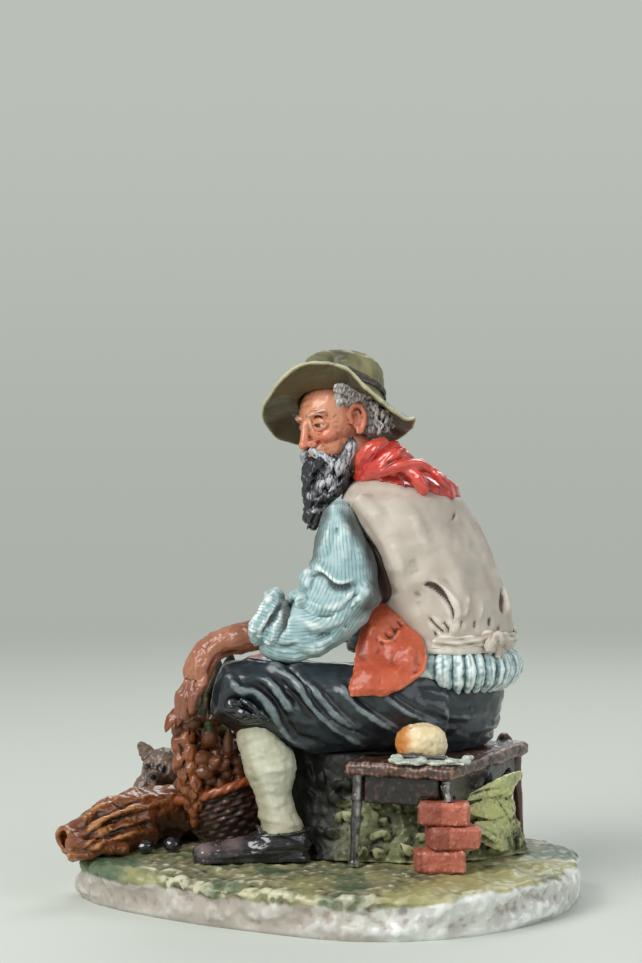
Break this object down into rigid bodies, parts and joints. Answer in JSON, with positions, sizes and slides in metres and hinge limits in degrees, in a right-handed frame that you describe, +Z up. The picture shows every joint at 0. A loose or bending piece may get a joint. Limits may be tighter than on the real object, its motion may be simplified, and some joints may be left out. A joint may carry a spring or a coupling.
{
  "type": "seated tramp figurine",
  "caption": "Painted porcelain figurine of a bearded old man in a hat, seated on a low bench beside a basket, a sack and a puppy, on an irregular ground plinth.",
  "frame": {"origin": "middle of the plinth's flat underside", "axes": "+Z up from the resting face, +X to the right and +Y away as seen in the front view, in which the man faces left"},
  "size_m": [0.2264, 0.1778, 0.2385],
  "materials": {
    "ground_paint": "satin, mottled green and yellow over white biscuit",
    "grass_paint": "satin yellow green with dark wash",
    "wood_paint": "dark brown, worn pale on the edges",
    "brick_paint": "matt pink red with dark red shading",
    "bread_paint": "satin cream, orange brown crust",
    "paper_paint": "matt grey green white",
    "knife_paint": "dark grey gloss",
    "basket_paint": "dark brown gloss, orange on the rim",
    "chestnut_paint": "chestnut brown gloss",
    "sack_paint": "orange brown gloss with dark folds",
    "puppy_paint": "matt grey brown with black spots",
    "plum_paint": "black high gloss",
    "breeches_paint": "blue black satin, pale brushed ridges",
    "stocking_paint": "matt cream with brown wash",
    "shoe_paint": "black gloss with pink grey worn patches",
    "shirt_paint": "matt pale aqua with thin blue grey stripes",
    "waistcoat_paint": "matt grey beige with brown creases",
    "lining_paint": "terracotta satin",
    "scarf_paint": "red gloss",
    "skin_paint": "matt warm flesh with red brown shading",
    "hat_paint": "matt olive with a pale worn edge",
    "band_paint": "matt dark brown",
    "hair_paint": "matt grey with dark wash",
    "beard_paint": "blue black with grey white ridges"
  },
  "bodies": {
    "root": {"basket": "basket_paint", "basket_husks": "chestnut_paint", "beard": "beard_paint", "bench_apron_left": "wood_paint", "bench_apron_near": "wood_paint", "bench_apron_right": "wood_paint", "bench_leg_far_left": "wood_paint", "bench_leg_far_right": "wood_paint", "bench_leg_near_left": "wood_paint", "bench_leg_near_right": "wood_paint", "bench_seat": "wood_paint", "bread_roll": "bread_paint", "breeches_left": "breeches_paint", "breeches_right": "breeches_paint", "breeches_seat": "breeches_paint", "brick_bottom": "brick_paint", "brick_middle": "brick_paint", "brick_top": "brick_paint", "chestnut_1": "chestnut_paint", "chestnut_2": "chestnut_paint", "chestnut_3": "chestnut_paint", "chestnut_4": "chestnut_paint", "chestnut_5": "chestnut_paint", "cinch_strap": "waistcoat_paint", "fruit_heap": "chestnut_paint", "grass_bank": "grass_paint", "grass_leaf_1": "grass_paint", "grass_leaf_2": "grass_paint", "grass_leaf_3": "grass_paint", "ground_base": "ground_paint", "hair": "hair_paint", "hand_left": "skin_paint", "hand_right": "skin_paint", "hat": "hat_paint", "hat_band": "band_paint", "head": "skin_paint", "knee_cuff_left": "breeches_paint", "knee_cuff_right": "breeches_paint", "knife": "knife_paint", "moustache": "beard_paint", "neckerchief": "scarf_paint", "paper_sheet": "paper_paint", "plum_1": "plum_paint", "plum_2": "plum_paint", "puppy_body": "puppy_paint", "puppy_head": "puppy_paint", "sack": "sack_paint", "shirt_tail": "shirt_paint", "shoe_left": "shoe_paint", "shoe_right": "shoe_paint", "sleeve_cuff_left": "shirt_paint", "sleeve_cuff_right": "shirt_paint", "sleeve_left": "shirt_paint", "sleeve_right": "shirt_paint", "stocking_left": "stocking_paint", "stocking_right": "stocking_paint", "strap_knot": "waistcoat_paint", "waistcoat": "waistcoat_paint", "waistcoat_front_left": "lining_paint", "waistcoat_front_right": "lining_paint"}
  },
  "joints": []
}
